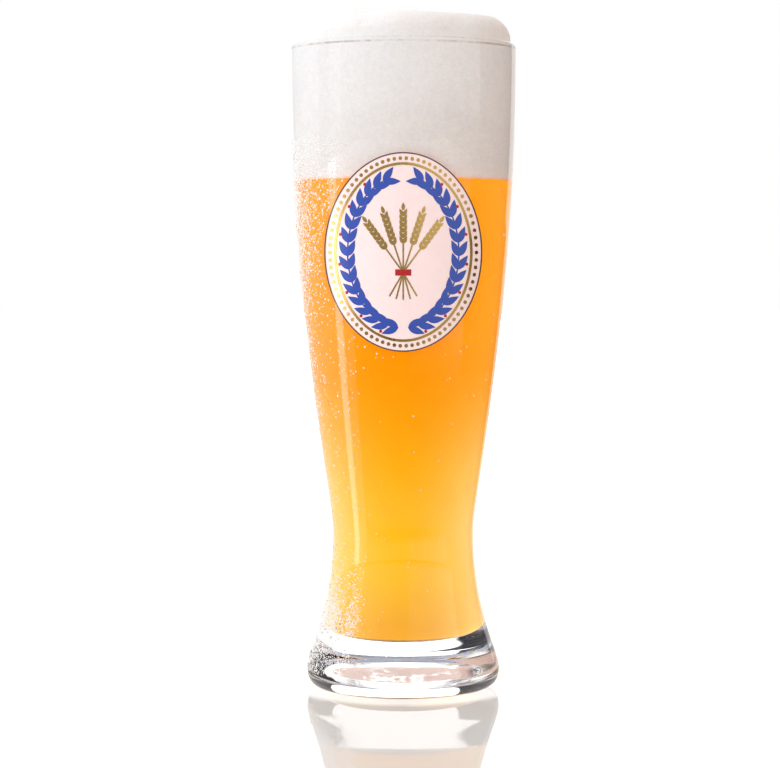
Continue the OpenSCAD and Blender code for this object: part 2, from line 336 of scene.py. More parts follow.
def quads(rows, cols, wrap_rows=False, wrap_cols=True):
    """Corner numbers of a grid's quads. A wrapped side joins its last line to its first."""
    i, j = np.meshgrid(np.arange(rows if wrap_rows else rows - 1),
                       np.arange(cols if wrap_cols else cols - 1), indexing="ij")
    k, m = (i + 1) % rows, (j + 1) % cols
    return stack(i * cols + j, i * cols + m, k * cols + m, k * cols + j).reshape(-1, 4)


def repeated(faces, count, size):
    """The faces of count copies of a shape that has size points, one copy after another."""
    return (faces[None] + size * np.arange(count)[:, None, None]).reshape(-1, faces.shape[-1])


def make_piece(name, points, faces, material, slot, nodes=(), crease=40, merge=True):
    """Puts points and faces into a mesh object that rides on the body. Doubled points are merged, which
    closes seams and poles, and normals are turned outwards. Edges sharper than crease degrees stay sharp."""
    points = np.ascontiguousarray(points.reshape(-1, 3), dtype=np.float32)
    corners = faces.shape[-1]
    mesh = bpy.data.meshes.new(name)
    mesh.vertices.add(len(points))
    mesh.vertices.foreach_set("co", points.ravel())
    mesh.loops.add(faces.size)
    mesh.loops.foreach_set("vertex_index", faces.ravel().astype(np.int32))
    mesh.polygons.add(len(faces))
    mesh.polygons.foreach_set("loop_start", np.arange(0, faces.size, corners, dtype=np.int32))
    mesh.update(calc_edges=True)
    if merge:
        work = bmesh.new()
        work.from_mesh(mesh)
        bmesh.ops.remove_doubles(work, verts=work.verts, dist=0.0005 * MM)
        bmesh.ops.recalc_face_normals(work, faces=work.faces)
        work.to_mesh(mesh)
        work.free()
    mesh.validate()
    mesh.polygons.foreach_set("use_smooth", np.ones(len(mesh.polygons), bool))
    mesh.set_sharp_from_angle(angle=math.radians(crease))
    mesh.materials.append(material)
    piece = bpy.data.objects.new(name, mesh)
    bpy.context.scene.collection.objects.link(piece)
    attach(piece, BODY)
    if nodes:
        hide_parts(*nodes)
    return piece


def clear_to_light(piece):
    """Lets studio light through a clear piece in straight lines, so that what it holds is lit cleanly."""
    piece.visible_shadow = False
    piece.visible_diffuse = False


def waves(points, scale, seed, count=24):
    """Smooth noise between about -1 and 1: the mean of count sine waves with seeded directions and phases,
    and wavelengths from scale to half of it."""
    rng = np.random.default_rng(seed)
    way = rng.normal(size=(count, 3))
    way /= np.linalg.norm(way, axis=1, keepdims=True)
    way *= 2 * np.pi / scale * rng.uniform(1, 2, (count, 1))
    phase = rng.uniform(0, 2 * np.pi, count)
    return np.sin(points @ way.T + phase).sum(-1) / math.sqrt(count)


def plug(value, socket):
    """Links a wire to a node's input, or sets the input to a plain number, vector or colour."""
    if isinstance(value, Wire):
        value.tree.links.new(value.socket, socket)
    elif socket.type == "RGBA":
        socket.default_value = (*value[:3], 1)
    else:
        socket.default_value = value


def new_node(tree, kind, sockets=None, **settings):
    """Adds a node whose inputs are given by name or number, and returns its outputs as wires, by both."""
    made = tree.nodes.new(kind)
    for key, value in settings.items():
        setattr(made, key, value)
    for key, value in (sockets or {}).items():
        plug(value, made.inputs[key])
    return {key: Wire(tree, socket) for number, socket in enumerate(made.outputs)
            for key in (number, socket.name)}


class Wire:
    """A node's output. Arithmetic on it places Math nodes, with a number or a wire on the other side."""

    def __init__(self, tree, socket):
        self.tree, self.socket = tree, socket

    def math(self, operation, *others, **settings):
        """A Math node that takes this value first."""
        sockets = dict(enumerate((self, *others)))
        return new_node(self.tree, "ShaderNodeMath", sockets, operation=operation, **settings)[0]

    def __add__(self, other):
        return self.math("ADD", other)

    def __sub__(self, other):
        return self.math("SUBTRACT", other)

    def __mul__(self, other):
        return self.math("MULTIPLY", other)

    def __truediv__(self, other):
        return self.math("DIVIDE", other)

    def rest(self):
        """What is left of 1."""
        return new_node(self.tree, "ShaderNodeMath", {0: 1.0, 1: self}, operation="SUBTRACT")[0]

    def most(self, *others):
        """The largest of this and other values."""
        largest = self
        for other in others:
            largest = largest.math("MAXIMUM", other)
        return largest

    def ramp(self, low, high, first=0.0, last=1.0):
        """Goes smoothly from first to last as this goes from low to high."""
        sockets = {"Value": self, "From Min": low, "From Max": high, "To Min": first, "To Max": last}
        return new_node(self.tree, "ShaderNodeMapRange", sockets, interpolation_type="SMOOTHSTEP")[0]

    def band(self, low, high, soft):
        """1 while this is between two edges, which are 2 soft wide, and 0 outside them."""
        return self.ramp(low - soft, low + soft) * self.ramp(high + soft, high - soft)

    def blended(self, mode, share, first, second):
        """The colour output of a Mix node."""
        sockets = {0: share, 6: first, 7: second}
        return new_node(self.tree, "ShaderNodeMix", sockets, data_type="RGBA", blend_type=mode)[2]

    def mix(self, first, second):
        """A colour that goes from first to second as this goes from 0 to 1."""
        return self.blended("MIX", self, first, second)

    def shade(self, other):
        """This times another colour."""
        return self.blended("MULTIPLY", 1.0, self, other)

    def parts(self):
        """The x, y and z of this place."""
        made = new_node(self.tree, "ShaderNodeSeparateXYZ", {0: self})
        return made[0], made[1], made[2]

    def away(self, centre=(0, 0, 0)):
        """How far this place is from a centre."""
        sockets = {0: self, 1: centre}
        return new_node(self.tree, "ShaderNodeVectorMath", sockets, operation="DISTANCE")["Value"]

    def noise(self, scale, detail):
        """Noise at this place."""
        sockets = {"Vector": self, "Scale": scale, "Detail": detail}
        return new_node(self.tree, "ShaderNodeTexNoise", sockets)[0]

    def cells(self, scale):
        """How far this place is from the middle of the nearest of many bubbles, in bubbles."""
        return new_node(self.tree, "ShaderNodeTexVoronoi", {"Vector": self, "Scale": scale})["Distance"]


def new_group(name, inputs, outputs):
    """An empty shader node group that takes a Vector and named numbers and puts out named numbers."""
    tree = bpy.data.node_groups.new(name, "ShaderNodeTree")
    tree.interface.new_socket("Vector", in_out="INPUT", socket_type="NodeSocketVector")
    for direction, labels in (("INPUT", inputs), ("OUTPUT", outputs)):
        for label in labels:
            tree.interface.new_socket(label, in_out=direction, socket_type="NodeSocketFloat")
    return tree, new_node(tree, "NodeGroupInput"), tree.nodes.new("NodeGroupOutput").inputs


def grain_group():
    """Grain: two sizes of noise. Shade varies about 1 by Contrast, and Height is for a Bump node."""
    tree, given, out = new_group("Grain", ("Scale", "Coarse", "Contrast"), ("Shade", "Height"))
    place, scale = given["Vector"], given["Scale"]
    both = place.noise(scale, 3.0) + place.noise(scale * given["Coarse"], 2.0)
    plug((both - 1.0) * given["Contrast"] + 1.0, out["Shade"])
    plug(both, out["Height"])
    return tree


def level_group():
    """Level: Share goes smoothly from 0 at the height Low to 1 at High, over heights that noise moves by
    Wobble."""
    tree, given, out = new_group("Level", ("Low", "High", "Wobble", "Scale"), ("Share",))
    place = given["Vector"]
    moved = place.parts()[2] + (place.noise(given["Scale"], 3.0) - 0.5) * given["Wobble"]
    plug(moved.ramp(given["Low"], given["High"]), out["Share"])
    return tree


def use_group(place, kind, **sockets):
    """Places a shared group, which is built once, and returns its outputs."""
    made = bpy.data.node_groups.get(kind) or {"Grain": grain_group, "Level": level_group}[kind]()
    return new_node(place.tree, "ShaderNodeGroup", {"Vector": place, **sockets}, node_tree=made)


def grain(place, scale, coarse, contrast):
    """The Shade and Height of the Grain group."""
    return use_group(place, "Grain", Scale=scale, Coarse=coarse, Contrast=contrast)


def level(place, low, high, wobble, scale):
    """The Share of the Level group."""
    return use_group(place, "Level", Low=low, High=high, Wobble=wobble, Scale=scale)["Share"]


def new_material(name, **constants):
    """A material, its one Principled node's inputs, which constants set, and its object coordinates."""
    material = bpy.data.materials.new(name)
    material.use_nodes = True
    shader = material.node_tree.nodes["Principled BSDF"].inputs
    for label, value in constants.items():
        plug(value, shader[label.replace("_", " ")])
    return material, shader, new_node(material.node_tree, "ShaderNodeTexCoord")["Object"]


def bump(shader, height, strength, distance):
    """Feeds a height into the shader's normal."""
    sockets = {"Height": height, "Strength": strength, "Distance": distance}
    plug(new_node(height.tree, "ShaderNodeBump", sockets)[0], shader["Normal"])


def glass_finish(s):
    """Clear glass with the faint waviness of a pressed and fire-polished surface. The hollow under it is
    fogged from its middle to the back, but for a dry place there, and its wet patches let the table show."""
    material, shader, place = new_material("clear_glass", Base_Color=s.tint, IOR=1.5, Transmission_Weight=1.0)
    x, y, z = place.parts()
    hollow = z.ramp(s.kick + 0.25 * MM, s.kick + 0.1 * MM)
    dry = y.ramp(19 * MM, 21 * MM) * x.math("ABSOLUTE").ramp(10 * MM, 7 * MM)
    fogged = hollow * y.ramp(-7 * MM, -3 * MM) * dry.rest() * (x * -1.2 + y).ramp(33 * MM, 29 * MM)
    wave, skin, film = (grain(place, scale, 0.3, 0.0)["Height"] for scale in (120.0, 900.0, 560.0))
    bump(shader, skin * fogged * 8.0 + wave, 0.02, 0.4 * MM)
    plug(fogged * 0.15, shader["Roughness"])
    plug((fogged * film.ramp(0.70, 1.00, 0.1, 0.9)).rest(), shader["Alpha"])
    return material


def water_finish(name, clear):
    """Water in drops. Where they are fine, clear is below 1 and they scatter light, each a little unlike."""
    material, shader, place = new_material(name, IOR=1.333, Transmission_Weight=clear)
    mottle = grain(place, 1500.0, 0.3, 0.12)
    plug(mottle["Shade"].shade([0.97] * 3), shader["Base Color"])
    plug(mottle["Height"] * (0.15 * (1 - clear)), shader["Roughness"])
    return material


def beer_finish(s, g):
    """Cloudy beer: light soaks into it, and its colour runs from the foot through the waist to the deepest
    part of the bowl and up to the foam, in bands with wavy edges: painted light, which stands for how much
    beer the light passes through. Settled yeast colours its floor. It is paler towards its sides, most in
    the narrow part, and it glows by its emission, more at the right: painted light that gets through it. In
    glossy reflections its lower part shows a painted reflection, a streaky bluish colour, instead of its own."""
    material, shader, place = new_material(
        "cloudy_beer", Roughness=0.6, Specular_IOR_Level=0.0, Subsurface_Weight=1.0, Subsurface_Scale=9 * MM,
        Subsurface_Radius=(1.0, 0.45, 0.12), Emission_Strength=s.glow)
    x, y, z = place.parts()
    body = s.beer_foot
    # Painted light: the colours by height stand for how much beer the light passes through, paler in the
    # narrow waist and deepest in the wide bowl
    for low, high, hue in ((g.floor_z, g.waist_z * 0.8, s.beer_waist),
                           (g.waist_z * 0.9, g.waist_z * 2.1, s.beer_middle),
                           (s.beer_z * 0.8, s.beer_z, s.beer_top)):
        body = level(place, low, high, 14 * MM, 22.0).mix(body, hue)
    off_base = level(place, g.floor_z + 1.0 * MM, g.floor_z + 2.0 * MM, 0.3 * MM, 600.0)
    body = off_base.mix(s.yeast, body)

    # Painted light: the sides, most in the narrow part, take a paler colour for light that gets through the
    # beer, more at the right
    side = x / (x * x + y * y).math("SQRT").most(1 * MM)
    left, right = ((side * sign).most(0.0).math("POWER", 2.2) for sign in (-1.0, 1.0))
    narrow = z.ramp(2.1 * g.waist_z, 0.9 * g.waist_z, 0.12, 1.0)
    body = (narrow * (left * s.painted_glow_left + right * s.painted_glow_right)).mix(body, s.painted_side_glow)
    body = body.shade(grain(place, 160.0, 0.25, 0.08)["Shade"])

    # Painted reflection: glossy reflected rays see the lower beer in a streaky bluish colour mixed with the
    # yeast's, instead of its own
    path = new_node(place.tree, "ShaderNodeLightPath")
    streak = grain(place, 300.0, 0.4, 1.6)["Shade"]
    painted_reflection = streak.math("MULTIPLY", 0.25, use_clamp=True).mix(s.mirrored, s.yeast).shade(streak)
    mirrored = path["Is Reflection Ray"] * path["Is Glossy Ray"] * z.ramp(2.0 * g.waist_z, 1.2 * g.waist_z)
    body = mirrored.mix(body, painted_reflection)
    # Painted light: the emission makes the beer glow with light that passes through it, more on its right
    # side
    plug(body.shade([s.soak] * 3), shader["Base Color"])
    plug(body.shade(right * 0.45 + 1.0), shader["Emission Color"])
    return material


def bubble_finish(s):
    """The pale colour of a bubble that clings to the glass: painted light in place of what the bubble
    reflects.
    """
    material, shader, place = new_material("bubble_painted_glint", Roughness=0.3, Specular_IOR_Level=0.3)
    plug(grain(place, 1200.0, 0.3, 0.25)["Shade"].shade(s.bubble), shader["Base Color"])
    return material


def foam_finish(s, g):
    """Dense foam: fine bubbles in two sizes, with painted shade a little darker in the gaps, and lower in the
    glass a little darker and warmer, painted shade and painted light from the beer. It is soaked with beer at
    its foot, and has a broken brown line of painted shade just under the lip, where the lip shows dark."""
    material, shader, place = new_material(
        "beer_foam", Roughness=0.7, Specular_IOR_Level=0.15, Subsurface_Weight=0.6, Subsurface_Scale=2.5 * MM,
        Subsurface_Radius=(1.0, 0.85, 0.7))
    fine, coarse = (place.cells(scale) for scale in (1900.0, 620.0))
    bubbles = coarse * 0.6 + fine
    mottle = grain(place, 420.0, 0.3, 0.07)
    z = place.parts()[2]
    # Painted light and shade: lower in the glass the foam is darker and warmer, as if lit by the beer, and it
    # is darker in the gaps between bubbles
    depth = (z - g.height) / (s.beer_z - g.height)
    body = depth.mix(s.foam, s.foam_low).shade((bubbles * -0.10 + 1.06) * mottle["Shade"])
    # Painted shade: a broken brown line just under the lip, where the lip shows dark
    lip = z.band(g.height - 1.0 * g.rim_wall, g.height - 0.7 * g.rim_wall, 0.25 * MM)
    body = (lip * mottle["Height"].ramp(0.75, 1.3, 0.1, 0.8)).mix(body, s.lip_shade)
    clean = level(place, s.beer_z - 0.3 * MM, s.beer_z + 1.2 * MM, 1.2 * MM, 420.0)
    plug(clean.mix(s.foam_stain, body), shader["Base Color"])
    bump(shader, bubbles * -1.0, 0.35, 0.25 * MM)
    return material


def enamel_finish(name, value, roughness=0.16, metallic=0.0, lit=0.0):
    """Fired enamel: glossy, with the slight mottle of a screen print, and with a little painted glow, as if
    lit from behind.
    """
    # Painted light: a pinkish emission stands in for light from behind the enamel
    material, shader, place = new_material(name, Metallic=metallic, IOR=1.5, Emission_Strength=lit,
                                           Emission_Color=(1.0, 0.4, 0.35))
    mottle = grain(place, 900.0, 0.2, 0.10)
    plug(mottle["Shade"].shade(value), shader["Base Color"])
    plug(mottle["Height"] * roughness, shader["Roughness"])
    bump(shader, mottle["Height"], 0.10, 0.05 * MM)
    return material


def floor_finish(stage):
    """Glossy pale table top, as each kind of ray sees it. The camera sees it white, but for a patch round the
    glass and in front of it, a painted shadow that stays dull enough to show its mirror image. Gloss sees it
    dark in front and at the right, with two lamps and the ceiling past its edge. Clear pieces see it lit in
    three sectors behind the glass, with painted light from the beer in the hollow under it, and dark
    elsewhere."""
    material, shader, place = new_material("studio_floor", IOR=1.17, Emission_Color=(1, 1, 1))
    path = new_node(place.tree, "ShaderNodeLightPath")
    camera, gloss, through = (path[f"Is {kind} Ray"] for kind in ("Camera", "Glossy", "Transmission"))
    x, y, _ = place.parts()
    soft = math.radians(2)
    front, back = x.math("ARCTAN2", y * -1.0), x.math("ARCTAN2", y)
    away = place.away()

    # Lit behind the glass in a narrow sector, in a wide one farther out, and in a part of a ring at the right
    near = back.band(stage.left_edge * 0.12, stage.right_edge * 0.43, soft / 4)
    far = back.band(stage.left_edge, stage.right_edge, soft) * away.ramp(85 * MM, 100 * MM)
    ring = back.band(math.radians(3), math.radians(75), soft) * away.band(37 * MM, 50 * MM, 2 * MM)
    lit = near.most(far, ring)
    # Painted light: the hollow under the glass takes a pinkish colour and a glow, for light that comes
    # through the beer
    beer_lit = through * away.ramp(34 * MM, 30 * MM)
    edge = front.band(math.radians(-60), math.radians(150), soft) * away.ramp(120 * MM, 250 * MM)
    dark = (lit.rest() * through).most(edge * gloss)
    plain = dark.mix(camera.mix(stage.table, stage.table_seen), stage.table_unlit)
    plug(beer_lit.mix(plain, stage.beer_lit), shader["Base Color"])
    plug((camera * 0.97).rest(), shader["Roughness"])

    # Painted shadow: this glow, which makes the table white, stays off near the glass and in front of it
    bare = place.away((0, -45 * MM, 0)).ramp(100 * MM, 200 * MM, 0.0, stage.table_bare)
    bare += away.ramp(260 * MM, 1200 * MM, 0.0, stage.table_far)
    caustic = away.ramp(44 * MM, 36 * MM, 0.0, stage.table_caustic)
    strip, box, ceiling = (
        front.band(math.radians(low), math.radians(high), soft) * away.ramp(start, full) * light
        for low, high, start, full, light in ((-84, -74, 0.10, 0.20, stage.strip_light),
                                              (8, 74, 0.38, 0.75, stage.box_seen),
                                              (-60, 8, 0.45, 0.80, stage.ceiling * 0.6)))
    glow = (gloss * strip.most(box, ceiling)).most(
        camera * (bare + caustic + stage.table_glow),
        through * lit * away.ramp(30 * MM, 34 * MM),
        beer_lit * stage.beer_lit_glow)
    plug(glow, shader["Emission Strength"])
    return material


def glass_outline(s):
    """The whole glass as one closed outline (r, z): the hollow under the foot, the outer side, the lip's
    half circle and the cavity's side back down."""
    flat_r, bend_r = s.ring_in_r - s.kick_run, s.ring_in_r - s.kick_run / 2
    hollow = joined(np.array([(0, s.kick), (flat_r, s.kick)]),
                    bezier((flat_r, s.kick), (bend_r, s.kick), (bend_r, 0), (s.ring_in_r, 0), 17))
    ring = np.array([hollow[-1], (s.ring_out_r, 0)])
    lip_r = s.rim_wall / 2
    lip = arc((s.rim_r - lip_r, s.height - lip_r), lip_r, 0, 180, 17)
    return joined(hollow, ring, outer_side(s), lip, cavity_side(s)[::-1])


class GLASS_OT_blow(Operator):
    """Blow the glass: its outline turned round the axis"""

    bl_idname = "beerglass.blow"
    bl_label = "Blow the glass"

    def execute(self, context):
        sizes = context.scene.glass_sizes
        outline = glass_outline(sizes)
        points, faces = lathe(outline, sizes.turns), quads(len(outline), sizes.turns)
        clear_to_light(make_piece("pressed_glass", points, faces, glass_finish(sizes), "clear_glass",
                                  ["glass"], crease=35))
        return {"FINISHED"}


class GLASS_OT_pour_beer(Operator):
    """Pour the beer: what the cavity holds up to the foam"""

    bl_idname = "beerglass.pour_beer"
    bl_label = "Pour the beer"

    def execute(self, context):
        sizes, drink = context.scene.glass_sizes, context.scene.drink_sizes
        top_z = drink.beer_z + 2 * drink.wobble
        side = cut(cavity_side(sizes), top_z)[0]
        grown = side + [drink.contact, 0]
        grown[0, 0] = 0
        grown[:2, 1] -= drink.contact
        outline = joined(resampled(grown, 1.2 * MM), np.array([grown[-1], (0, top_z)]))
        turns = 160
        make_piece("wheat_beer", lathe(outline, turns), quads(len(outline), turns),
                   beer_finish(drink, sizes), "wheat_beer", ["beer"])
        return {"FINISHED"}


def pitted(points, centres, radii, depths):
    """How far each point is pressed in: the deepest of the pits round it, each depth (1 - (d / radius)^2)
    inside its radius."""
    deepest = np.zeros(len(points))
    for chunk in np.array_split(np.arange(len(points)), max(1, len(points) // 2000)):
        gap = np.linalg.norm(points[chunk, None] - centres[None], axis=-1) / radii
        deepest[chunk] = (depths * np.clip(1 - gap ** 2, 0, None)).max(1)
    return deepest


class GLASS_OT_pour_foam(Operator):
    """Raise the foam head: up the cavity from the beer, and proud of the rim as a low dome"""

    bl_idname = "beerglass.pour_foam"
    bl_label = "Pour the foam"

    def execute(self, context):
        sizes, drink = context.scene.glass_sizes, context.scene.drink_sizes
        rim_in_r = sizes.rim_r - sizes.rim_wall
        lip_z = sizes.height - sizes.rim_wall / 2
        turns, pit_count = 288, 900

        under = np.array([(0, drink.beer_z), (rim_in_r * 0.9, drink.beer_z)])
        side = cut(cavity_side(sizes), drink.beer_z)[1] + [1.2 * drink.contact, 0]
        flat_r = rim_in_r - drink.shoulder
        shoulder = arc((flat_r, drink.foam_z - drink.crown - drink.shoulder), drink.shoulder, 0, 90, 40)
        share = np.linspace(1, 0, 60)
        top = stack(flat_r * share, drink.foam_z - drink.crown * share ** 2)
        outline = joined(under, np.vstack([under[-1:], resampled(side, 0.9 * MM)]),
                         np.linspace(side[-1], shoulder[0], 14), shoulder, top)
        points = lathe(outline, turns).reshape(-1, 3)

        # Above the lip the skin is pressed in, by two sizes of waves and by pits where bubbles have burst
        free = np.clip((points[:, 2] - lip_z) / (3 * MM), 0, 1)
        out = points - [0, 0, lip_z - 20 * MM]
        out /= np.linalg.norm(out, axis=1, keepdims=True)
        slow = waves(points, 26 * MM, 3) * 0.28 * MM
        quick = waves(points, 6 * MM, 5, 40) * 0.06 * MM
        rng = np.random.default_rng(11)
        angle, radius = rng.uniform(0, 2 * np.pi, pit_count), rim_in_r * np.sqrt(rng.uniform(0, 1, pit_count))
        crest = outline[-len(shoulder) - len(top):][::-1]
        height = np.interp(radius, *crest.T)
        centres = stack(radius * np.cos(angle), radius * np.sin(angle), height)
        pit_r = rng.lognormal(math.log(0.5 * MM), 0.35, pit_count)
        pits = np.zeros(len(points))
        pits[free > 0] = pitted(points[free > 0], centres, pit_r, pit_r * 0.35)
        move = (slow + quick - 0.35 * MM) * free - pits * free
        points += out * np.minimum(move, 0)[:, None]

        # Its foot on the beer is uneven, most at the wall
        low = points[:, 2] < drink.beer_z + 0.5 * MM
        ring = points[low] * [1, 1, 0]
        uneven = waves(ring, 9 * MM, 8) * 0.6 + waves(ring, 2.4 * MM, 9, 40) * 0.4
        points[low, 2] += uneven * drink.wobble * (ring[:, :2] ** 2).sum(1) / rim_in_r ** 2
        make_piece("foam_crown", points, quads(len(outline), turns), foam_finish(drink, sizes), "foam",
                   ["foam_head"], crease=80)
        return {"FINISHED"}


def radius_and_slope(side, z):
    """A rising outline's radius R and its slope R', at heights z."""
    r, heights = side.T
    return np.interp(z, heights, r), np.interp(z, heights, np.gradient(r, heights))


def on_glass(sizes, badge, flat, lift):
    """Flat drawing points (x, y) on the front of the glass: X = x, Z = middle + y and
    Y = -sqrt(R(Z)^2 - x^2), then out by lift along the normal (X / R, Y / R, -R') / sqrt(1 + R'^2)."""
    x, z = flat[..., 0], badge.middle_z + flat[..., 1]
    radius, slope = radius_and_slope(outer_side(sizes), z)
    y = -np.sqrt(radius ** 2 - x ** 2)
    normal = stack(x / radius, y / radius, -slope) / np.sqrt(1 + slope ** 2)[..., None]
    return stack(x, y, z) + lift * normal


def blade(length_, half_width, rows=9):
    """A flat shape along +X from the origin: (l t, s w(t)) for t from 0 to 1 and s from -1 to 1."""
    t = np.linspace(0, 1, rows)[:, None]
    s = np.linspace(-1, 1, 3)[None, :]
    return stack(length_ * t + 0 * s, s * half_width(t))


def leaf(length_, width):
    """A pointed leaf or kernel, widest a little below its middle: w(t) = width / 2 sin(pi t^0.8)."""
    return blade(length_, lambda t: width / 2 * np.sin(np.pi * t ** 0.8))


def bar(length_, width, rows=9):
    """A straight bar."""
    return blade(length_, lambda t: width / 2 + 0 * t, rows)


def disc(radius):
    """A round dot about the origin: w(t) = 2 radius sqrt(t (1 - t))."""
    return blade(2 * radius, lambda t: 2 * radius * np.sqrt(t * (1 - t))) - [radius, 0]


def stamped(shape, places, turns):
    """Copies of a flat shape, each turned by its angle in radians and moved to its place."""
    turns = np.asarray(turns, float)[:, None, None]
    x, y = shape[None, ..., 0], shape[None, ..., 1]
    turned = stack(x * np.cos(turns) - y * np.sin(turns), x * np.sin(turns) + y * np.cos(turns))
    return turned + np.asarray(places, float)[:, None, None, :]


def printed(sizes, badge, copies, low, high):
    """Points and faces of thin closed prints on the glass. Each copy's rows run over the top at the lift
    high and back under at low, and its two ends are drawn together to close it."""
    count, rows, cols, _ = copies.shape
    over = on_glass(sizes, badge, copies, high)
    under = on_glass(sizes, badge, copies, low)[:, :, ::-1]
    ring = np.concatenate([over, under], axis=2)
    ends = [np.broadcast_to(ring[:, [i]].mean(2, keepdims=True), ring[:, :1].shape) for i in (0, -1)]
    closed = np.concatenate([ends[0], ring, ends[1]], axis=1)
    size = (rows + 2) * 2 * cols
    return closed.reshape(-1, 3), repeated(quads(rows + 2, 2 * cols), count, size)


def oval(badge, inset, angle):
    """Points on an oval as wide and high as the badge, less an inset all round."""
    return stack((badge.width / 2 - inset) * np.cos(angle), (badge.height / 2 - inset) * np.sin(angle))


def oval_line(sizes, badge, inset, width, low, high, start=0.0, end=2 * np.pi):
    """Points and faces of a printed line along the oval, from one angle to another or all the way round."""
    whole = end - start >= 2 * np.pi
    angle = np.linspace(start, end, 193, endpoint=not whole)
    edges = np.stack([oval(badge, inset, angle), oval(badge, inset + width, angle)])
    over = on_glass(sizes, badge, edges, high)
    under = on_glass(sizes, badge, edges[::-1], low)
    ring = np.concatenate([over, under])
    if not whole:
        ends = [np.broadcast_to(ring[:, i].mean(0), (4, 1, 3)) for i in (0, -1)]
        ring = np.concatenate([ends[0], ring, ends[1]], axis=1)
    return ring.reshape(-1, 3), quads(4, ring.shape[1], wrap_rows=True, wrap_cols=whole)


def gathered(*parts):
    """Points and faces of several parts as one."""
    starts = np.cumsum([0] + [len(points) for points, _ in parts])
    return (np.concatenate([points for points, _ in parts]),
            np.concatenate([faces + start for (_, faces), start in zip(parts, starts)]))


# The badge's drawing: how many rows of leaves, beads and rows of kernels, and how they turn
WREATH_ROWS = 16
WREATH_GAP = math.radians(16)
LEAF_TURN = math.radians(27)
BEAD_COUNT = 78
EAR_TURNS = np.radians([-36, -18, 0, 18, 36])
BUTT_TURNS = np.radians([-30, -15, 0, 15, 30])
KERNEL_ROWS = 6
KERNEL_TURN = math.radians(27)
KERNEL_STEP_SHARE = 0.66


def row_angles(rows):
    """Angles of the wreath's rows on its oval, from the foot up the right-hand side."""
    return -np.pi / 2 + (np.asarray(rows) + 0.5) * (np.pi - WREATH_GAP) / WREATH_ROWS


def both_sides(places, turns):
    """Places and turns with their mirror images across the upright axis."""
    return np.concatenate([places, places * [-1, 1]]), np.concatenate([turns, np.pi - turns])


def wreath_leaves(b):
    """Places and turns of all the wreath's leaves."""
    angle = row_angles(np.arange(WREATH_ROWS))
    heading = np.arctan2((b.height / 2 - b.wreath_inset) * np.cos(angle),
                         -(b.width / 2 - b.wreath_inset) * np.sin(angle))
    places = np.concatenate([oval(b, b.wreath_inset, angle)] * 2)
    turns = np.concatenate([heading - LEAF_TURN, heading + LEAF_TURN])
    return both_sides(places, turns)


def sheaf_kernels(b):
    """Places and turns of all the sheaf's kernels: pairs up each ear, and one at its tip."""
    steps = np.concatenate([np.repeat(np.arange(KERNEL_ROWS), 2), [KERNEL_ROWS]])
    along = b.tie_h / 2 + b.stalk_l + b.kernel_l * KERNEL_STEP_SHARE * steps
    tilt = np.concatenate([np.tile([-KERNEL_TURN, KERNEL_TURN], KERNEL_ROWS), [0]])
    up = np.pi / 2 - EAR_TURNS[:, None]
    places = stack(along * np.cos(up), b.tie_y + along * np.sin(up)).reshape(-1, 2)
    return places, (up + tilt).reshape(-1)


def fan(b, turns, up):
    """Places and turns of bars that fan out from the tie, upwards or downwards."""
    way = up * (np.pi / 2) - turns
    start = b.tie_h / 2
    return stack(start * np.cos(way), b.tie_y + start * np.sin(way)), way


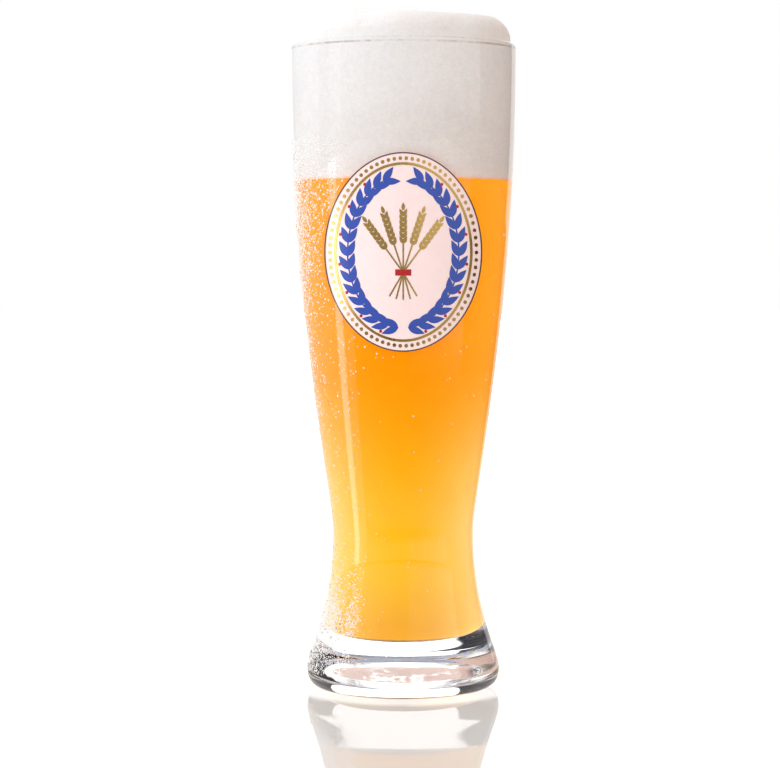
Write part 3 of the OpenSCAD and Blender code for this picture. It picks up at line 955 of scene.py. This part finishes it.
class GLASS_OT_print_badge(Operator):
    """Print the badge: white ground, dark keyline, gold border and sheaf, blue wreath and red tie"""

    bl_idname = "beerglass.print_badge"
    bl_label = "Print the badge"

    def execute(self, context):
        sizes, b = context.scene.glass_sizes, context.scene.badge_sizes
        base, top, sunk = b.ground_t, b.ground_t + b.ink_t, -0.02 * MM

        def prints(shape, places, turns):
            return printed(sizes, b, stamped(shape, places, turns), base, top)

        def line(inset, width, high=top, ends=(0, 2 * np.pi)):
            return oval_line(sizes, b, inset, width, base, high, *ends)

        def lay(part, hue, *shapes, **sheen):
            enamel = f"{hue}_enamel"
            finish = enamel_finish(enamel, getattr(b, hue), **sheen)
            make_piece(f"enamel_{part}", *gathered(*shapes), finish, enamel, [f"badge_{part}"])

        angle = np.linspace(0, 2 * np.pi, 160, endpoint=False)
        rings = 33
        share = np.concatenate([np.linspace(0, 1, rings), np.linspace(1, 0, rings)])
        flat = share[:, None, None] * oval(b, 0, angle)[None]
        lift = np.where(np.arange(2 * rings) < rings, base, sunk)[:, None, None]
        ground = on_glass(sizes, b, flat, lift).reshape(-1, 3), quads(len(share), len(angle))
        # Painted light: the white ground glows a little, as if lit from behind
        lay("ground", "white", ground, lit=0.12)
        lay("keyline", "dark", line(0, b.keyline_w))

        bead_angle = np.arange(BEAD_COUNT) * 2 * np.pi / BEAD_COUNT
        lay("gold", "gold",
            prints(disc(b.bead_r), oval(b, b.bead_inset, bead_angle), 0 * bead_angle),
            line(b.line_inset, b.line_w),
            prints(leaf(b.kernel_l, b.kernel_w), *sheaf_kernels(b)),
            prints(bar(b.stalk_l, b.stalk_w), *fan(b, EAR_TURNS, 1)),
            prints(bar(b.butt_l, b.stalk_w), *fan(b, BUTT_TURNS, -1)),
            roughness=0.3, metallic=1.0)

        rows = row_angles([0, WREATH_ROWS - 1])
        stem = b.wreath_inset - b.stem_w / 2, b.stem_w, top - 0.01 * MM
        lay("blue", "blue", prints(leaf(b.leaf_l, b.leaf_w), *wreath_leaves(b)),
            line(*stem, rows), line(*stem, np.pi - rows[::-1]))

        odd = row_angles(np.arange(1, WREATH_ROWS - 1, 2) + 0.5)
        berries = both_sides(oval(b, b.wreath_inset - b.leaf_w - b.berry_r, odd), 0 * odd)
        lay("red", "red", prints(bar(b.tie_w, b.tie_h), [(-b.tie_w / 2, b.tie_y)], [0]),
            prints(disc(b.berry_r), *berries))

        half = (MARK_HIGH.x - MARK_LOW.x) / 2
        middle = (MARK_HIGH.z + MARK_LOW.z) / 2 - b.middle_z
        mark = bar(2 * half, MARK_HIGH.z - MARK_LOW.z, 17) + [-half, middle]
        points, faces = printed(sizes, b, mark[None], sunk, b.ink_t)
        make_piece("fill_line", points * [-1, -1, 1], faces, enamel_finish("mark_enamel", b.white),
                   "white_enamel", ["fill_mark"])
        return {"FINISHED"}


def drop(rings, around):
    """Points and triangles of a drop of radius 1 that sits on z = 0, for thousands of copies: rings
    (sin a, 0.6 cos a) for a from the pole to 90 degrees, and two poles, the lower one a little below."""
    tilt = np.linspace(np.pi / 2, 0, rings + 1)[:-1]
    outline = stack(np.sin(tilt), 0.6 * np.cos(tilt))
    ring_points = lathe(outline, around).reshape(-1, 3)
    points = np.vstack([ring_points, [(0, 0, -0.12), (0, 0, 0.6)]])
    faces = quads(rings, around)
    split = np.concatenate([faces[:, [0, 1, 2]], faces[:, [0, 2, 3]]])
    j = np.arange(around)
    k = (j + 1) % around
    last = (rings - 1) * around
    foot = stack(k, j, np.full(around, rings * around))
    cap = stack(last + j, last + k, np.full(around, rings * around + 1))
    return points, np.concatenate([split, foot, cap])


def on_wall(side, angle, z):
    """Places on a rising outline turned round the axis, each with the directions round, up the side and
    out: (-sin a, cos a, 0), (R' cos a, R' sin a, 1) / n and (cos a, sin a, -R') / n, n = sqrt(1 + R'^2)."""
    radius, slope = radius_and_slope(side, z)
    cos, sin, none = np.cos(angle), np.sin(angle), 0 * angle
    size = np.sqrt(1 + slope ** 2)[:, None]
    place = stack(radius * cos, radius * sin, z)
    around = stack(-sin, cos, none)
    up = stack(slope * cos, slope * sin, 1 + none) / size
    out = stack(cos, sin, -slope) / size
    return place, np.stack([around, up, out], axis=1)


def bead_up(side, name, angle, z, radius, tall, rings, around, material, slot):
    """Puts a drop on the outline at each place: place + radius (x round + y tall up + z out)."""
    shape, faces = drop(rings, around)
    place, axes = on_wall(side, angle, z)
    scaled = shape[None] * stack(radius, radius * tall, radius)[:, None]
    points = place[:, None] + np.einsum("npk,nkc->npc", scaled, axes)
    clear_to_light(make_piece(name, points, repeated(faces, len(angle), len(shape)), material, slot,
                              merge=False, crease=75))


def mist_share(angle, z, floor_z, top_z):
    """How thickly the mist lies, from 0 to 1: heaviest down the left side, over the foot and below the
    foam, thin elsewhere. The sum of bells exp(-(d / width)^2) about directions in degrees, where the front
    is 270 and the left 180, each times a sum of such bells in height."""
    def beside(middle, width):
        turn = np.abs((angle - np.radians(middle) + np.pi) % (2 * np.pi) - np.pi)
        return np.exp(-(turn / np.radians(width)) ** 2)

    foot = np.exp(-((z - 1.25 * floor_z) / (0.75 * floor_z)) ** 2)
    high = np.exp(-((z - 0.89 * top_z) / (0.13 * top_z)) ** 2)
    edge = beside(189, 12) * (0.07 + 0.8 * foot + 0.28 * high)
    front = beside(206, 15) * (0.02 + 0.9 * foot + 0.13 * high)
    line = beside(231, 6) * (0.02 + 0.5 * foot + 0.1 * high)
    return np.clip(edge + front + line + 0.001, 0, 1)


class GLASS_OT_fog(Operator):
    """Fog the glass: fine condensation, and a few larger drops"""

    bl_idname = "beerglass.fog"
    bl_label = "Fog the glass"

    def execute(self, context):
        scene = context.scene
        sizes, dew, badge = scene.glass_sizes, scene.dew_sizes, scene.badge_sizes
        rng = np.random.default_rng(dew.seed)
        side = outer_side(sizes)

        def places(count, low, high):
            tries = 60 * count
            angle = rng.uniform(0, 2 * np.pi, tries)
            z = rng.uniform(low, high, tries)
            keep = rng.uniform(0, 1, tries) < mist_share(angle, z, sizes.floor_z, dew.top_z)

            # None lie on the badge or close round it
            margin = 1 * MM
            x = radius_and_slope(side, z)[0] * np.cos(angle) / (badge.width / 2 + margin)
            y = (z - badge.middle_z) / (badge.height / 2 + margin)
            keep &= (x ** 2 + y ** 2 > 1) | (np.sin(angle) > 0)
            return angle[keep][:count], z[keep][:count]

        # The lower half has more drops, which are finer and whiter
        middle = dew.top_z / 2
        for name, low, high, count, middle_r, clear in (
                ("mist_low", sizes.foot_wide_z, middle, 1.4 * dew.mist_count, 0.7 * dew.mist_r, 0.08),
                ("mist_high", middle, dew.top_z, dew.mist_count, dew.mist_r, 0.35)):
            angle, z = places(round(count), low, high)
            radius = np.clip(rng.lognormal(math.log(middle_r), 0.35, len(z)), 0.07 * MM, 0.5 * MM)
            bead_up(side, name, angle, z, radius, rng.uniform(0.9, 1.25, len(z)), 2, 6,
                    water_finish(f"water_of_{name}", clear), "clear_glass")
        angle, z = places(dew.drop_count, sizes.foot_wide_z * 1.5, dew.top_z)
        radius = np.clip(rng.lognormal(math.log(dew.drop_r), 0.3, len(z)), 0.2 * MM, 0.9 * MM)
        bead_up(side, "drops", angle, z, radius, rng.uniform(1, 1.5, len(z)), 4, 12,
                water_finish("dew_water", 1.0), "clear_glass")
        return {"FINISHED"}


class GLASS_OT_bubble(Operator):
    """Let bubbles rise: a few at the beer's side, and a crowd where it meets the foam"""

    bl_idname = "beerglass.bubble"
    bl_label = "Let bubbles rise"

    def execute(self, context):
        scene = context.scene
        sizes, drink, dew = scene.glass_sizes, scene.drink_sizes, scene.dew_sizes
        rng = np.random.default_rng(dew.seed + 1)
        crowd = 5 * dew.bubble_count
        count = dew.bubble_count + crowd
        angle = rng.uniform(0, 2 * np.pi, count)
        z = np.concatenate([rng.uniform(sizes.floor_z + sizes.cavity_round, drink.beer_z, dew.bubble_count),
                            drink.beer_z - np.abs(rng.normal(0, 0.7 * MM, crowd))])
        radius = dew.bubble_r * rng.lognormal(0, 0.35, count)
        radius[dew.bubble_count:] *= 0.7
        rising = cavity_side(sizes)[1:]
        bead_up(rising, "bubbles", angle, z, radius, 1 + 0 * radius, 3, 8, bubble_finish(drink), "wheat_beer")
        return {"FINISHED"}


class GLASS_OT_stage(Operator):
    """Set the stage: camera, floor, lamps and backdrop"""

    bl_idname = "beerglass.stage"
    bl_label = "Set the stage"

    def execute(self, context):
        scene = context.scene
        stage = scene.stage_sizes
        focal = stage.lens / stage.sensor * PHOTO_W
        tilt = math.atan((PHOTO_H / 2 - EYE_LEVEL_Y) / focal)
        pan = math.atan((AXIS_X - PHOTO_W / 2) / focal)
        camera = bpy.data.objects.new("camera", bpy.data.cameras.new("camera"))
        camera.data.sensor_fit = "HORIZONTAL"
        camera.data.sensor_width = stage.sensor / MM
        camera.data.lens = stage.lens / MM
        camera.location = (0, -stage.distance, stage.eye_z)
        camera.rotation_euler = (math.pi / 2 - tilt, 0, pan)
        scene.collection.objects.link(camera)
        scene.camera = camera

        half, low = stage.floor_size / 2, -stage.gap
        corners = [(-half, -half, low), (half, -half, low), (half, half, low), (-half, half, low)]
        mesh = bpy.data.meshes.new("floor")
        mesh.from_pydata(corners, [], [(0, 1, 2, 3)])
        mesh.materials.append(floor_finish(stage))
        floor = bpy.data.objects.new("floor", mesh)
        scene.collection.objects.link(floor)

        strip = bpy.data.lights.new("left_strip", "AREA")
        strip.shape = "RECTANGLE"
        strip.size, strip.size_y = STRIP_SIZE
        strip.energy = stage.strip_power
        lamp = bpy.data.objects.new("left_strip", strip)
        lamp.location = STRIP_PLACE
        lamp.rotation_euler = (Vector(STRIP_AIM) - lamp.location).to_track_quat("-Z", "Y").to_euler()
        scene.collection.objects.link(lamp)

        light_world(scene, stage)
        scene.view_settings.view_transform = "Standard"
        return {"FINISHED"}


def light_world(scene, stage):
    """White to the camera. Glass and gloss see a lit backdrop between two edges, a dim room beside it, a
    paler ceiling in front and a softbox high at the right. Their first mirror image also has a bright
    horizon behind the glass and a dimmer one at the left. Everything else gets an even light, stronger from
    the left and above and warm from the right."""
    world = bpy.data.worlds.new("studio")
    world.use_nodes = True
    tree = world.node_tree
    tree.nodes.clear()
    path = new_node(tree, "ShaderNodeLightPath")
    camera, gloss, through = (path[f"Is {kind} Ray"] for kind in ("Camera", "Glossy", "Transmission"))
    x, y, z = new_node(tree, "ShaderNodeTexCoord")["Generated"].parts()
    soft = math.radians(1)
    front, back, rise = x.math("ARCTAN2", y * -1.0), x.math("ARCTAN2", y), z.math("ARCSINE")
    first_bounce = path["Is Reflection Ray"] * path["Ray Depth"].math("LESS_THAN", 2.5)

    def sector(low, high, wide):
        return back.band(math.radians(low), math.radians(high), wide)

    def glow(tint, power):
        return new_node(tree, "ShaderNodeBackground", {"Color": tint, "Strength": power})[0]

    def either(share, first, second):
        return new_node(tree, "ShaderNodeMixShader", {0: share, 1: first, 2: second})[0]

    backdrop = back.band(stage.left_edge, stage.right_edge, soft) * (through * (stage.backdrop - 1) + 1.0)
    ceiling = y.ramp(0.0, -0.4) * z.ramp(0.0, 0.02, 0.0, stage.ceiling)
    softbox = front.band(BOX_LEFT, BOX_RIGHT, soft) * rise.band(BOX_LOW, BOX_HIGH, soft) * stage.box_light
    horizon = (sector(-16, 16, 5 * soft) * z.ramp(0.01, 0.2, 1.0, stage.horizon)).most(
        sector(-85, -20, 2 * soft) * stage.wing)
    screen = backdrop.most(ceiling, softbox, horizon * first_bounce, stage.room)
    mirrored = glow(screen.ramp(0.0, 0.5).mix(stage.cool, WHITE), screen)

    tinted = (z * -0.35 + x).ramp(-0.2, 0.5).mix(WHITE, stage.warm)
    leaning = x * z.rest() * -stage.lean + (z * stage.above + stage.ambient)
    even = glow(z.ramp(0.6, 1.0).mix(tinted, stage.overhead), leaning.most(0.02))
    other = either(gloss.math("ADD", through, use_clamp=True), even, mirrored)
    plug(either(camera, other, glow(WHITE, 1.0)), tree.nodes.new("ShaderNodeOutputWorld").inputs["Surface"])
    scene.world = world


class GLASS_PT_panel(Panel):
    """Lists the sizes and the steps in the 3D view's sidebar"""

    bl_label = "Beer Glass"
    bl_idname = "GLASS_PT_panel"
    bl_space_type = "VIEW_3D"
    bl_region_type = "UI"
    bl_category = "Beer Glass"

    def draw(self, context):
        for label in SETTINGS:
            box = self.layout.box()
            group_ = getattr(context.scene, label)
            for key in group_.__annotations__:
                box.prop(group_, key)
        for step in STEPS:
            self.layout.operator(step.bl_idname)


SETTINGS = {
    "glass_sizes": GlassSizes,
    "drink_sizes": DrinkSizes,
    "badge_sizes": BadgeSizes,
    "dew_sizes": DewSizes,
    "stage_sizes": StageSizes,
}
STEPS = (GLASS_OT_blow, GLASS_OT_pour_beer, GLASS_OT_pour_foam, GLASS_OT_print_badge, GLASS_OT_fog,
         GLASS_OT_bubble, GLASS_OT_stage)


def register():
    """Registers the settings, the steps and the panel."""
    for label, kind in SETTINGS.items():
        bpy.utils.register_class(kind)
        setattr(bpy.types.Scene, label, PointerProperty(type=kind))
    for kind in (*STEPS, GLASS_PT_panel):
        bpy.utils.register_class(kind)


def unregister():
    """Takes them away again."""
    for kind in (GLASS_PT_panel, *reversed(STEPS)):
        bpy.utils.unregister_class(kind)
    for label, kind in reversed(SETTINGS.items()):
        delattr(bpy.types.Scene, label)
        bpy.utils.unregister_class(kind)


def main():
    """Registers the add-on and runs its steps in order."""
    register()
    for step in STEPS:
        area, action = step.bl_idname.split(".")
        getattr(getattr(bpy.ops, area), action)()


if __name__ == "__main__":
    main()
